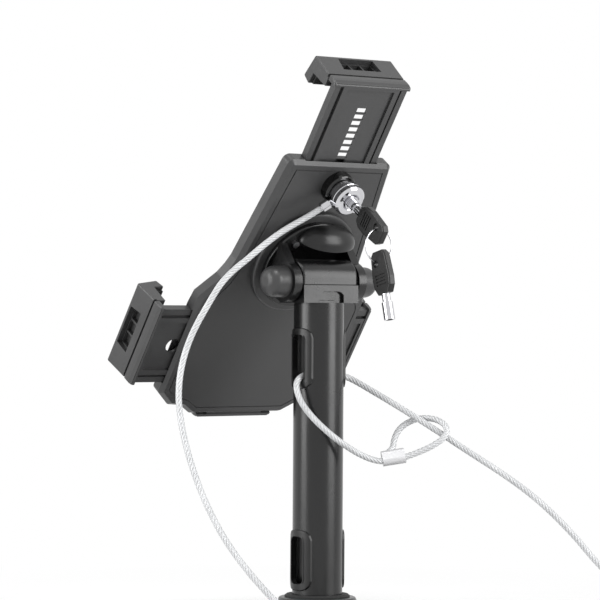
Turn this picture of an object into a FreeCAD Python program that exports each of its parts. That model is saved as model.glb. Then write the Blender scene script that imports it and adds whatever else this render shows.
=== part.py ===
import FreeCAD, Part
import math
import os
import Sketcher

# Anti-theft tablet desk stand. Millimetres and degrees. The origin is the middle of the base's underside,
# +Z is up, the tilt hinge lies along X and the screen side of the holder faces -Y.
# The holder is drawn lying flat in its own axes: x across, y up the plate, z out of the screen side,
# with z = 0 on the hinge axis. One placement then leans it back.

SIZES = {
    # base
    "base_radius": 90,
    "base_plate_thick": 5,
    "foot_pad_high": 2,
    "foot_pad_inset": 4,
    "cover_gap": 0.3,
    "cover_wall": 2.4,
    "cover_rim_high": 6.6,
    "neck_radius": 26.5,
    "neck_top": 21.3,
    "desk_hole_ring": 60,
    "desk_hole_bore": 5,
    "cover_screw_ring": 52,
    "gasket_radius": 22.8,
    "gasket_high": 2,
    # pole
    "pole_radius": 17.5,
    "pole_wall": 2,
    "pole_long": 201.7,
    "fit_gap": 0.2,
    "pole_bolt_radius": 5,
    "pole_bolt_head": 9,
    "pole_bolt_head_high": 2.2,
    "pole_bolt_sunk": 0.6,
    "plug_flange": 3,
    "slot_wide": 12.6,
    "slot_high": 33,
    "bezel_wide": 22.6,
    "bezel_high": 42,
    "bezel_proud": 1.4,
    "bezel_lip": 1,
    "bezel_round": 7,
    "slot_round": 3.6,
    "upper_slot_drop": 37.7,
    "lower_slot_rise": 24.1,
    # hinge
    "hinge_above_pole": 15.5,
    "block_half_long": 23.85,
    "block_half_deep": 14,
    "block_top": 15.9,
    "block_seam_drop": 2.4,
    "seam_step": 0.7,
    "block_end_round": 1.6,
    "block_round": 13,
    "notch_wide": 22,
    "notch_high": 8,
    "notch_deep": 2.6,
    "ear_gap": 1.3,
    "ear_thick": 6.4,
    "ear_radius": 14,
    "bolt_radius": 5,
    "bush_radius": 7.6,
    "bush_long": 9,
    "running_gap": 0.15,
    "cap_radius": 11.2,
    "cap_taper": 0.9,
    "cap_long": 15.8,
    "cap_wall": 1.8,
    "cap_round": 7.6,
    "lean": 35,
    # swivel hub
    "hub_height": 1,
    "back_face": 25,
    "hub_radius": 40.9,
    "hub_proud": 3.5,
    "hub_bore": 30,
    "swivel_gap": 0.3,
    "disc_radius": 35,
    "disc_thick": 3.2,
    "retainer_radius": 36.5,
    "retainer_thick": 2.4,
    "dome_x": -6.5,
    "dome_half_wide": 24,
    "dome_half_high": 13.2,
    "dome_half_deep": 15,
    "dome_low_edge": 22.6,
    "hub_screw_ring": 25.5,
    # holder shell
    "shell_thick": 11,
    "shell_wall": 2.4,
    "front_thick": 2,
    "edge_bevel": 3,
    "border_inset": 6.4,
    "border_wide": 0.8,
    "border_deep": 0.5,
    "corner_round": 5,
    "top_edge": 82,
    "top_half": 44.5,
    "waist_half": 54.5,
    "wide_half": 74.5,
    "shoulder": -32,
    "lower_corner": -115,
    "tongue_shoulder": -127,
    "bottom_edge": -134,
    "tongue_half": 40,
    "side_arm_height": -75.5,
    "pad_thick": 2.5,
    "pad_half_wide": 6.5,
    "long_pad_half": 46,
    "short_pad_half": 34,
    "pad_from_flank": 28.5,
    # arms and claws
    "arm_half": 31.25,
    "arm_thick": 6,
    "arm_web": 1.5,
    "web_recess": 1.5,
    "arm_web_half": 20.2,
    "rib_half": 24.4,
    "groove_half": 26.6,
    "groove_deep": 2.4,
    "slide_gap": 0.3,
    "long_arm": 86,
    "short_arm": 51.2,
    "claw_stand_off": 9.2,
    "band_half": 33.2,
    "band_thick": 3.6,
    "claw_half": 33,
    "claw_line": 0.4,
    "channel_deep": 2.2,
    "channel_high": 1.4,
    "claw_deep": 21.5,
    "claw_flare": 2.8,
    "lip_deep": 25.2,
    "lip_drop": 15.2,
    "tip_deep": 17.6,
    "tip_drop": 17.6,
    "root_deep": 16.6,
    "root_drop": 8.6,
    "leg_drop": 8.9,
    "leg_deep": 2.9,
    "claw_window": 33,
    "window_from": 7.6,
    "window_to": 19,
    "notch_pitch": 5.15,
    "notch_count": 13,
    "ratchet_wide": 8.4,
    "ratchet_high": 3.9,
    "first_ratchet": 22.2,
    "stop_hole": 5.5,
    "top_extend": 53.3,
    "left_extend": 17.6,
    "right_extend": 3,
    "bottom_extend": -4.6,
    # lock and keys
    "lock_x": -2,
    "lock_height": 63.5,
    "lock_radius": 12.1,
    "lock_cap_radius": 11.6,
    "lock_collar_long": 7,
    "swivel_long": 5.2,
    "lock_cap_long": 8,
    "swivel_radius": 9.6,
    "plug_radius": 5,
    "ferrule_angle": 42,
    "ferrule_reach": 19,
    "key_tube": 3.8,
    "key_bore": 2.4,
    "key_neck": 2.9,
    "key_neck_long": 6,
    "key_thick": 5.2,
    "key_wide": 18.5,
    "key_head_long": 30,
    "key_head_out": 34,
    "key_hole": 2.6,
    "key_hole_edge": 8.5,
    "key_hole_side": 3,
    "key_ring_radius": 11.3,
    "key_ring_wire": 0.5,
    "spare_lean": 14,
    # cable
    "cable": 4.4,
    "cable_floor": 2.3,
    "cable_lead": 12,
    "coil_radius": 30,
    "coil_pitch": 5.5,
    "coil_x": 4,
    "coil_y": 172,
}

doc = FreeCAD.newDocument("TabletStand")
sheet = doc.addObject("Spreadsheet::Sheet", "Sizes")
for row, (word, number) in enumerate(SIZES.items(), start=1):
    sheet.set("A%d" % row, word)
    sheet.set("B%d" % row, str(number))
    sheet.setAlias("B%d" % row, word)
doc.recompute()

NODES = []


# Small helpers

def value(text):
    """The number that an expression over the sheet's words gives."""
    result = sheet.evalExpression(text.replace("Sizes.", ""))
    return float(getattr(result, "Value", result))


def cells(text):
    """An expression with the sheet's name before each of its words."""
    out = ""
    word = ""
    for letter in text + " ":
        if letter.isalnum() or letter == "_":
            word += letter
            continue
        out += "Sizes." + word if word in SIZES else word
        out += letter
        word = ""
    return out.strip()


def spot(x="0", y="0", z="0", axis="0; 0; 1", angle="0"):
    return "placement(vector(%s; %s; %s); rotation(vector(%s); %s))" % (x, y, z, axis, angle)


STAND = spot()
POLE_FOOT = "(neck_top + gasket_high)"
POLE_TOP = "(neck_top + gasket_high + pole_long)"
HINGE = "(neck_top + gasket_high + pole_long + hinge_above_pole)"
PLATE = spot(z=HINGE, axis="1; 0; 0", angle="90 - lean")
ALONG_X = spot(z=HINGE, axis="0; 1; 0", angle="90")
LOCK = PLATE + " * " + spot("lock_x", "lock_height")
SHELL_BACK = "back_face"
ARM_BACK = "(back_face + shell_wall + slide_gap)"
FRONT_BACK = "(back_face + shell_thick - front_thick)"
FRONT_FACE = "(back_face + shell_thick)"
CLAW_PLANE = "(back_face + shell_thick + 0.5)"
HUB_BACK = "(back_face - hub_proud)"
DISC_FRONT = "(back_face - hub_proud - swivel_gap)"
DISC_BACK = "(back_face - hub_proud - swivel_gap - disc_thick)"
RETAINER_BACK = "(back_face - hub_proud + shell_wall + swivel_gap)"


def new_body(label, place=STAND):
    body = doc.addObject("PartDesign::Body", label)
    body.Label = label
    body.setExpression("Placement", cells(place))
    NODES.append(body)
    return body


def draw(body, plane, loops, lift="0"):
    """A sketch on one of the body's planes. A loop is a list of corners, or ('circle', x, y, radius)."""
    sketch = body.newObject("Sketcher::SketchObject", body.Label + "_outline")
    origin = [item for item in body.Origin.OriginFeatures if item.Role == plane + "_Plane"][0]
    sketch.AttachmentSupport = [(origin, "")]
    sketch.MapMode = "FlatFace"
    sketch.setExpression("AttachmentOffset.Base.z", cells(lift))
    for loop in loops:
        if loop[0] == "circle":
            draw_circle(sketch, loop[1:])
        else:
            draw_corners(sketch, loop)
    return sketch


def hold(sketch, kind, geometry, point, text):
    """A distance from the sketch's origin, tied to the sheet."""
    index = sketch.addConstraint(Sketcher.Constraint(kind, -1, 1, geometry, point, value(text)))
    sketch.setExpression("Constraints[%d]" % index, cells(text))


def draw_circle(sketch, circle):
    x, y, radius = circle
    centre = FreeCAD.Vector(value(x), value(y), 0)
    geometry = sketch.addGeometry(Part.Circle(centre, FreeCAD.Vector(0, 0, 1), value(radius)), False)
    hold(sketch, "DistanceX", geometry, 3, x)
    hold(sketch, "DistanceY", geometry, 3, y)
    index = sketch.addConstraint(Sketcher.Constraint("Radius", geometry, value(radius)))
    sketch.setExpression("Constraints[%d]" % index, cells(radius))


def draw_corners(sketch, corners):
    points = [FreeCAD.Vector(value(x), value(y), 0) for x, y in corners]
    first = sketch.GeometryCount
    count = len(points)
    for index in range(count):
        sketch.addGeometry(Part.LineSegment(points[index], points[(index + 1) % count]), False)
    for index in range(count):
        following = first + (index + 1) % count
        sketch.addConstraint(Sketcher.Constraint("Coincident", first + index, 2, following, 1))
    for index, (x, y) in enumerate(corners):
        hold(sketch, "DistanceX", first + index, 1, x)
        hold(sketch, "DistanceY", first + index, 1, y)


def box(x, y, half_x, half_y):
    """Corners of a rectangle round a middle point."""
    left, right = "%s - (%s)" % (x, half_x), "%s + %s" % (x, half_x)
    low, high = "%s - (%s)" % (y, half_y), "%s + %s" % (y, half_y)
    return [(left, low), (right, low), (right, high), (left, high)]


def pad(body, plane, loops, long, lift="0", midplane=False, back=False):
    feature = body.newObject("PartDesign::Pad", body.Label + "_pad")
    feature.Profile = draw(body, plane, loops, lift)
    feature.setExpression("Length", cells(long))
    feature.Midplane = midplane
    feature.Reversed = back
    body.Tip = feature
    doc.recompute()
    return feature


def pocket(body, plane, loops, deep, lift="0", midplane=False, back=False):
    """A cut that runs along the plane's normal, or against it with back."""
    before = body.Shape.Volume
    feature = body.newObject("PartDesign::Pocket", body.Label + "_cut")
    feature.Profile = draw(body, plane, loops, lift)
    feature.setExpression("Length", cells(deep))
    feature.Midplane = midplane
    feature.Reversed = not back
    body.Tip = feature
    doc.recompute()
    if body.Shape.Volume > before - 1e-6:
        raise RuntimeError("%s: a cut missed the solid" % body.Label)
    return feature


def turn(body, corners, lift="0"):
    """A solid of revolution round the body's z axis; corners are (radius, z)."""
    feature = body.newObject("PartDesign::Revolution", body.Label + "_turned")
    sketch = draw(body, "XZ", [corners], lift)
    feature.Profile = sketch
    feature.ReferenceAxis = (sketch, ["V_Axis"])
    feature.setExpression("Angle", "360")
    body.Tip = feature
    doc.recompute()
    return feature


def soften(body, radius, wanted, kind="Fillet"):
    """Rounds or bevels the edges whose middle point passes the test."""
    base = body.Tip
    names = []
    for index, edge in enumerate(base.Shape.Edges, start=1):
        if wanted(edge, middle(edge)):
            names.append("Edge%d" % index)
    feature = body.newObject("PartDesign::" + kind, body.Label + "_" + kind.lower())
    feature.Base = (base, names)
    feature.setExpression("Radius" if kind == "Fillet" else "Size", cells(radius))
    body.Tip = feature
    doc.recompute()
    if not names or "Invalid" in feature.State:
        raise RuntimeError("%s: %s failed on %d edges" % (body.Label, kind, len(names)))
    return feature


def middle(edge):
    """The point half way along an edge, in the body's own axes."""
    return edge.valueAt((edge.FirstParameter + edge.LastParameter) / 2)


def runs_along(edge, axis):
    """True for a straight edge along the axis of this number."""
    if edge.Curve.TypeId != "Part::GeomLine":
        return False
    direction = edge.tangentAt(edge.FirstParameter)
    return abs(abs(direction[axis]) - 1) < 1e-4


def lies(point, axis, text):
    return abs(point[axis] - value(text)) < 0.01


def rod(label, radius, x, y, z, long):
    """A loose round bar along z, for a group of like solids."""
    shape = doc.addObject("Part::Cylinder", label)
    shape.setExpression("Radius", cells(radius))
    shape.setExpression("Height", cells(long))
    shape.setExpression("Placement.Base.x", cells(x))
    shape.setExpression("Placement.Base.y", cells(y))
    shape.setExpression("Placement.Base.z", cells(z))
    return shape


def join(label, shapes):
    fused = doc.addObject("Part::MultiFuse", label)
    fused.Shapes = shapes
    return fused


def group(label, shapes, place=STAND):
    """Separate solids that share one node."""
    compound = doc.addObject("Part::Compound", label)
    compound.Label = label
    compound.Links = shapes
    compound.setExpression("Placement", cells(place))
    NODES.append(compound)
    doc.recompute()
    return compound


def screws(label, places, head_radius, head_from, head_high, shank_radius, shank_from, shank_long, place):
    """Round-headed screws along z at a list of (x, y)."""
    solids = []
    for number, (x, y) in enumerate(places, start=1):
        name = "%s_%d" % (label, number)
        head = rod(name + "_head", head_radius, x, y, head_from, head_high)
        shank = rod(name + "_shank", shank_radius, x, y, shank_from, shank_long)
        solids.append(join(name, [head, shank]))
    return group(label, solids, place)


def round_places(ring, angles, x="0", y="0"):
    return [("%s + %s * cos(%g deg)" % (x, ring, angle), "%s + %s * sin(%g deg)" % (y, ring, angle))
            for angle in angles]


# Base

def make_base():
    plate = new_body("base_plate")
    pad(plate, "XY", [("circle", "0", "0", "base_radius")], "base_plate_thick", "foot_pad_high")
    soften(plate, "0.8", lambda edge, point: lies(point, 2, "foot_pad_high"), "Chamfer")
    pocket(plate, "XY", [("circle", "0", "0", "pole_bolt_radius + fit_gap")], "base_plate_thick", "foot_pad_high")
    recess = [("circle", "0", "0", "pole_bolt_head + fit_gap")]
    pocket(plate, "XY", recess, "pole_bolt_sunk + pole_bolt_head_high", "foot_pad_high")
    for radius, ring, angles in (("desk_hole_bore / 2", "desk_hole_ring", (0, 90, 180, 270)),
                                 ("1.9", "cover_screw_ring", (30, 150, 270))):
        holes = [("circle", x, y, radius) for x, y in round_places(ring, angles)]
        pocket(plate, "XY", holes, "base_plate_thick", "foot_pad_high")
    heads = [("circle", x, y, "3.4") for x, y in round_places("cover_screw_ring", (30, 150, 270))]
    pocket(plate, "XY", heads, "2.6", "foot_pad_high")

    cover = new_body("base_cover")
    low = "foot_pad_high + 1"
    top = "foot_pad_high + base_plate_thick + cover_gap"
    turn(cover, [
        ("base_radius + cover_gap", low),
        ("base_radius + cover_gap + cover_wall", low),
        ("base_radius + cover_gap + cover_wall", "foot_pad_high + cover_rim_high - 2"),
        ("base_radius - 1", "foot_pad_high + cover_rim_high + 0.3"),
        ("neck_radius + 9", "foot_pad_high + cover_rim_high + 4"),
        ("neck_radius + 3", "foot_pad_high + cover_rim_high + 5.8"),
        ("neck_radius", "neck_top"),
        ("pole_radius + fit_gap", "neck_top"),
        ("pole_radius + fit_gap", "neck_top - cover_wall"),
        ("neck_radius - cover_wall", "neck_top - cover_wall"),
        ("neck_radius + 1", "foot_pad_high + cover_rim_high + 4"),
        ("neck_radius + 8", "foot_pad_high + cover_rim_high + 1.9"),
        ("base_radius - 12", top),
        ("base_radius + cover_gap", top),
    ])
    soften(cover, "1.2", lambda edge, point: lies(point, 2, "neck_top") and math.hypot(point.x, point.y) > value(
        "neck_radius") - 0.1)
    bosses = [("circle", x, y, "4") for x, y in round_places("cover_screw_ring", (30, 150, 270))]
    pad(cover, "XY", bosses, "cover_rim_high - base_plate_thick + 1.6", "foot_pad_high + base_plate_thick")
    bores = [("circle", x, y, "1.6") for x, y in round_places("cover_screw_ring", (30, 150, 270))]
    pocket(cover, "XY", bores, "3.4", "foot_pad_high + base_plate_thick")

    gasket = new_body("foot_gasket")
    turn(gasket, [
        ("pole_radius + fit_gap", "neck_top"),
        ("gasket_radius", "neck_top"),
        ("gasket_radius", "neck_top + gasket_high - 1"),
        ("gasket_radius - 1.2", "neck_top + gasket_high"),
        ("pole_radius + fit_gap", "neck_top + gasket_high"),
    ])

    mat = new_body("base_pad")
    pad(mat, "XY", [("circle", "0", "0", "base_radius - foot_pad_inset")], "foot_pad_high")
    bolts = [("circle", x, y, "desk_hole_bore") for x, y in round_places("desk_hole_ring", (0, 90, 180, 270))]
    pocket(mat, "XY", bolts, "foot_pad_high")
    screws("base_screws", round_places("cover_screw_ring", (30, 150, 270)), "3.1", "foot_pad_high + 0.3", "2",
           "1.5", "foot_pad_high + 2.3", "base_plate_thick + 0.6", STAND)


# Pole with its two pairs of cable slots

def slot_heights():
    return ((POLE_TOP + " - upper_slot_drop", "upper"), (POLE_FOOT + " + lower_slot_rise", "lower"))


def rounded_slot(wide, high, middle_height, radius):
    """Corners of an upright slot with rounded ends, wide along the sketch's x."""
    corners = []
    for quarter, (side, rise) in enumerate(((1, 1), (-1, 1), (-1, -1), (1, -1))):
        middle_x = "%d * (%s / 2 - %s)" % (side, wide, radius)
        middle_y = "%s + %d * (%s / 2 - %s)" % (middle_height, rise, high, radius)
        for step in range(4):
            angle = 90 * quarter + 30 * step
            corners.append(("%s + %s * cos(%d deg)" % (middle_x, radius, angle),
                            "%s + %s * sin(%d deg)" % (middle_y, radius, angle)))
    return corners


def make_pole():
    foot = "(foot_pad_high + base_plate_thick)"
    tube_foot = "(foot_pad_high + base_plate_thick + plug_flange)"
    tube = new_body("pole_tube")
    pad(tube, "XY", [("circle", "0", "0", "pole_radius"), ("circle", "0", "0", "pole_radius - pole_wall")],
        POLE_TOP + " - " + tube_foot, tube_foot)
    for height, name in slot_heights():
        lip = "2 * bezel_lip + 2 * fit_gap"
        hole = rounded_slot("(slot_wide + %s)" % lip, "(slot_high + %s)" % lip, height, "(slot_round + bezel_lip)")
        pocket(tube, "YZ", [hole], "pole_radius * 3", midplane=True)

    for height, name in slot_heights():
        for side, angle in (("left", "0"), ("right", "180")):
            bezel = new_body("slot_bezel_%s_%s" % (name, side), spot(axis="0; 0; 1", angle=angle))
            make_bezel(bezel, height)

    plug = new_body("pole_foot_plug")
    inner = "pole_radius - pole_wall - fit_gap"
    pad(plug, "XY", [("circle", "0", "0", "pole_radius"), ("circle", "0", "0", "pole_bolt_radius")],
        "plug_flange", foot)
    pad(plug, "XY", [("circle", "0", "0", inner), ("circle", "0", "0", "pole_bolt_radius")], "16", tube_foot)
    soften(plug, "1", lambda edge, point: lies(point, 2, tube_foot + " + 16") and math.hypot(point.x, point.y) > 10,
           "Chamfer")
    bolt = new_body("pole_bolt")
    head_from = "foot_pad_high + pole_bolt_sunk"
    pad(bolt, "XY", [("circle", "0", "0", "pole_bolt_head")], "pole_bolt_head_high", head_from)
    pocket(bolt, "XY", [hexagon("4")], "1.4", head_from)
    shaft_from = head_from + " + pole_bolt_head_high"
    pad(bolt, "XY", [("circle", "0", "0", "pole_bolt_radius - 0.05")], "18", shaft_from)

    head = new_body("pole_head_plug")
    pad(head, "XY", [("circle", "0", "0", inner)], "20.2", POLE_TOP + " - 20")
    pad(head, "XY", [("circle", "0", "0", "pole_radius - 0.4")], "0.9", POLE_TOP)
    pad(head, "XY", [("circle", "0", "0", "9")], "8", POLE_TOP + " + 0.9")
    tab = [("-4", "8"), ("10", "8"), ("10", "block_half_deep - 0.9"), ("-4", "block_half_deep - 0.9")]
    pad(head, "XY", [tab], "1.6", POLE_TOP + " + 0.9")
    pocket(head, "XY", [("circle", "0", "0", "5")], "40", POLE_TOP + " - 21")


def make_bezel(bezel, height):
    """A frame that follows the pole's curve, with a lip that lines the hole in the wall."""
    rim = rounded_slot("bezel_wide", "bezel_high", height, "bezel_round")
    pad(bezel, "YZ", [rim], "pole_radius", "pole_radius / 2")
    outside = [("circle", "0", "0", "pole_radius * 2"), ("circle", "0", "0", "pole_radius + bezel_proud")]
    pocket(bezel, "XY", outside, "400")
    soften(bezel, "0.6", lambda edge, point: abs(
        math.hypot(point.x, point.y) - value("pole_radius + bezel_proud")) < 0.05)
    pocket(bezel, "XY", [("circle", "0", "0", "pole_radius + 0.02")], "400")
    wide = "(slot_wide + 2 * bezel_lip)"
    high = "(slot_high + 2 * bezel_lip)"
    lip = rounded_slot(wide, high, height, "(slot_round + bezel_lip)")
    pad(bezel, "YZ", [lip], "pole_radius / 2 + 0.6", "pole_radius / 2")
    pocket(bezel, "XY", [("circle", "0", "0", "pole_radius - pole_wall - 0.4")], "400")
    pocket(bezel, "YZ", [rounded_slot("slot_wide", "slot_high", height, "slot_round")], "pole_radius * 2")


def hexagon(across):
    return [("%s * cos(%d deg)" % (across, angle), "%s * sin(%d deg)" % (across, angle))
            for angle in range(0, 360, 60)]


# Hinge block, bushes, bolt and end caps

def make_hinge():
    block = new_body("hinge_block")
    low = POLE_TOP + " + 0.9"
    seam = HINGE + " - block_seam_drop"
    deep = "block_half_deep"
    inner = "(block_half_deep - seam_step)"
    top = HINGE + " + block_top"
    pad(block, "YZ", [[
        ("-" + deep, low), (deep, low), (deep, seam), (inner, seam + " + seam_step"), (inner, top),
        ("-" + inner, top), ("-" + inner, seam + " + seam_step"), ("-" + deep, seam),
    ]], "2 * block_half_long", midplane=True)
    soften(block, "block_round", lambda edge, point: runs_along(edge, 0) and lies(point, 2, top))
    soften(block, "block_end_round", lambda edge, point: abs(point.x) > value("block_half_long") - 0.01
           and point.z > value(seam + " + seam_step") + 0.01)
    pocket(block, "YZ", [("circle", "0", HINGE, "bolt_radius + 0.6")], "80", midplane=True)
    for side in ("", "-"):
        pocket(block, "YZ", [("circle", "0", HINGE, "bush_radius")], "bush_long",
               "%sblock_half_long" % side, back=(side == ""))
    pocket(block, "XY", [("circle", "0", "0", "9 + fit_gap")], "8.2", low)
    arch = [
        ("-notch_wide / 2", low), ("notch_wide / 2", low),
        ("notch_wide / 2", low + " + notch_high - 2.5"), ("notch_wide / 2 - 2.2", low + " + notch_high - 0.6"),
        ("notch_wide / 2 - 5", low + " + notch_high"), ("-notch_wide / 2 + 5", low + " + notch_high"),
        ("-notch_wide / 2 + 2.2", low + " + notch_high - 0.6"), ("-notch_wide / 2", low + " + notch_high - 2.5"),
    ]
    pocket(block, "XZ", [arch], "notch_deep + 1", "-block_half_deep - 1")
    tab = [("-4.3", low), ("10.3", low), ("10.3", low + " + 1.9"), ("-4.3", low + " + 1.9")]
    pocket(block, "XZ", [tab], "block_half_deep - 7.6", "-block_half_deep")

    bushes = []
    for number, side in enumerate(("", "-"), start=1):
        outer = rod("bush_%d_outer" % number, "bush_radius - 0.02", "0", "0", "0", "bush_long - 0.3")
        inner_hole = rod("bush_%d_bore" % number, "bolt_radius + running_gap", "0", "0", "-1", "bush_long + 2")
        bush = doc.addObject("Part::Cut", "bush_%d" % number)
        bush.Base = outer
        bush.Tool = inner_hole
        low_end = "block_half_long - bush_long + 0.3" if side == "" else "-block_half_long"
        bush.setExpression("Placement.Base.z", cells(low_end))
        bushes.append(bush)
    group("hinge_bushes", bushes, ALONG_X)

    washers = []
    for number, start in enumerate(("block_half_long + 0.1", "-block_half_long - ear_gap + 0.1"), start=1):
        outer = rod("washer_%d_outer" % number, "10", "0", "0", "0", "ear_gap - 0.2")
        bore = rod("washer_%d_bore" % number, "bolt_radius + running_gap", "0", "0", "-1", "ear_gap + 2")
        washer = doc.addObject("Part::Cut", "washer_%d" % number)
        washer.Base = outer
        washer.Tool = bore
        washer.setExpression("Placement.Base.z", cells(start))
        washers.append(washer)
    group("hinge_washers", washers, ALONG_X)

    ear_out = "(block_half_long + ear_gap + ear_thick)"
    bolt = new_body("hinge_bolt", ALONG_X)
    pad(bolt, "XY", [("circle", "0", "0", "bolt_radius")], "2 * %s + 6" % ear_out, "-%s - 6" % ear_out)
    pad(bolt, "XY", [("circle", "0", "0", "8.4")], "4.6", ear_out)
    soften(bolt, "0.8", lambda edge, point: lies(point, 2, ear_out + " + 4.6"), "Chamfer")
    pocket(bolt, "XY", [hexagon("3.4")], "2.6", ear_out + " + 2")
    nut = new_body("hinge_nut", ALONG_X)
    pad(nut, "XY", [hexagon("8.6"), ("circle", "0", "0", "bolt_radius + 0.02")], "5", "-%s - 5" % ear_out)

    for side, turned in (("left", ""), ("right", " * " + spot(axis="0; 1; 0", angle="180"))):
        cap = new_body("hinge_cap_" + side, ALONG_X + turned)
        end = ear_out + " + cap_long"
        turn(cap, [
            ("cap_radius - cap_wall", ear_out), ("cap_radius", ear_out), ("cap_radius - cap_taper", end),
            ("0", end), ("0", end + " - cap_wall"), ("cap_radius - cap_round - cap_wall", end + " - cap_wall"),
            ("cap_radius - cap_wall", end + " - cap_round - cap_wall"),
        ])
        soften(cap, "cap_round", lambda edge, point: lies(point, 2, end))


# Tilt bracket, its hood and the swivel parts

def make_bracket():
    bracket = new_body("tilt_bracket", PLATE)
    pad(bracket, "XY", [("circle", "0", "hub_height", "disc_radius")], "disc_thick", DISC_BACK)
    soften(bracket, "1", lambda edge, point: lies(point, 2, DISC_BACK))
    boss = [("circle", "0", "hub_height", "hub_bore - swivel_gap")]
    pad(bracket, "XY", boss, "%s - %s" % (RETAINER_BACK, DISC_FRONT), DISC_FRONT)
    ear_in = "(block_half_long + ear_gap)"
    for side in (1, -1):
        lift = ear_in if side == 1 else "-%s - ear_thick" % ear_in
        pad(bracket, "YZ", [("circle", "0", "0", "ear_radius")], "ear_thick", lift)
        web = [("-ear_radius + 0.6", "3"), ("ear_radius - 0.6", "3"), ("ear_radius + 6", DISC_BACK + " + 1"),
               ("-ear_radius + 0.6", DISC_BACK + " + 1")]
        pad(bracket, "YZ", [web], "ear_thick", lift)
    pocket(bracket, "YZ", [("circle", "0", "0", "bolt_radius + 0.05")], "90", midplane=True)
    holes = [("circle", x, y, "1.6") for x, y in hub_screws()]
    pocket(bracket, "XY", holes, "12", DISC_BACK + " - 1")
    pocket(bracket, "XY", [("circle", "0", "hub_height - 3", "7")], "12", DISC_BACK + " - 1")

    dome = new_body("bracket_dome", PLATE)
    hood = dome.newObject("PartDesign::AdditiveEllipsoid", "bracket_dome_hood")
    halves = {"Radius1": "dome_half_deep", "Radius2": "dome_half_wide", "Radius3": "dome_half_high"}
    for side, size in halves.items():
        hood.setExpression(side, cells(size))
    hood.setExpression("Placement.Base.x", cells("dome_x"))
    hood.setExpression("Placement.Base.y", cells("dome_low_edge"))
    hood.setExpression("Placement.Base.z", cells(DISC_BACK))
    dome.Tip = hood
    doc.recompute()
    around = [box("dome_x", "dome_low_edge", "dome_half_wide + 1", "dome_half_high + 1")]
    pocket(dome, "XY", around, "dome_half_deep + 1", DISC_BACK)
    below = [box("dome_x", "dome_low_edge - dome_half_high", "dome_half_wide + 1", "dome_half_high")]
    pocket(dome, "XY", below, "dome_half_deep + 2", DISC_BACK + " - dome_half_deep - 1")
    near = [("circle", x, y, "3.2") for x, y in hub_screws()[1:4]]
    pocket(dome, "XY", near, "2.4", DISC_BACK + " - 2.4")

    screws("bracket_screws", hub_screws(), "2.6", DISC_BACK + " - 1.3", "1.3", "1.5", DISC_BACK, "8", PLATE)

    retainer = new_body("hub_retainer", PLATE)
    pad(retainer, "XY", [("circle", "0", "hub_height", "retainer_radius"),
                         ("circle", "0", "hub_height - 3", "7")], "retainer_thick", RETAINER_BACK)
    holes = [("circle", x, y, "1.55") for x, y in hub_screws()]
    pocket(retainer, "XY", holes, "retainer_thick", RETAINER_BACK)

    friction = new_body("swivel_washer", PLATE)
    pad(friction, "XY", [("circle", "0", "hub_height", "disc_radius - 0.5"),
                         ("circle", "0", "hub_height", "hub_bore - swivel_gap + 0.1")],
        "swivel_gap - 0.05", DISC_FRONT)


def hub_screws():
    return round_places("hub_screw_ring", (45, 67.5, 112.5, 135, 225, 247.5, 292.5, 315), y="hub_height")


# Holder shell

def outline(inset):
    """The plate's outline, one side mirrored on the other, drawn in by inset."""
    flank = [
        ("top_half - %s" % inset, "top_edge - %s" % inset),
        ("waist_half - %s" % inset, "-1.5"),
        ("waist_half + 2.2 - %s" % inset, "-9"),
        ("waist_half + 6 - %s" % inset, "-16.7 - %s * 0.5" % inset),
        ("waist_half + 11.5 - %s" % inset, "-23.2 - %s * 0.8" % inset),
        ("wide_half - 1.2 - %s" % inset, "shoulder - %s" % inset),
        ("wide_half - %s" % inset, "shoulder - 10"),
        ("wide_half - %s" % inset, "lower_corner + %s * 0.5" % inset),
        ("wide_half - 12.5 - %s * 0.6" % inset, "lower_corner - 11 + %s" % inset),
        ("tongue_half + 10.5 - %s * 0.3" % inset, "tongue_shoulder + %s" % inset),
        ("tongue_half - %s * 0.3" % inset, "bottom_edge + %s" % inset),
    ]
    return flank + [("-(%s)" % x, y) for x, y in reversed(flank)]


def cover_screw_places():
    side = [("top_half - 6.5", "top_edge - 8"), ("waist_half - 7.5", "12"), ("wide_half - 11.5", "shoulder - 4"),
            ("wide_half - 14.5", "lower_corner - 1.5")]
    return side + [("-(%s)" % x, y) for x, y in side]


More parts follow.
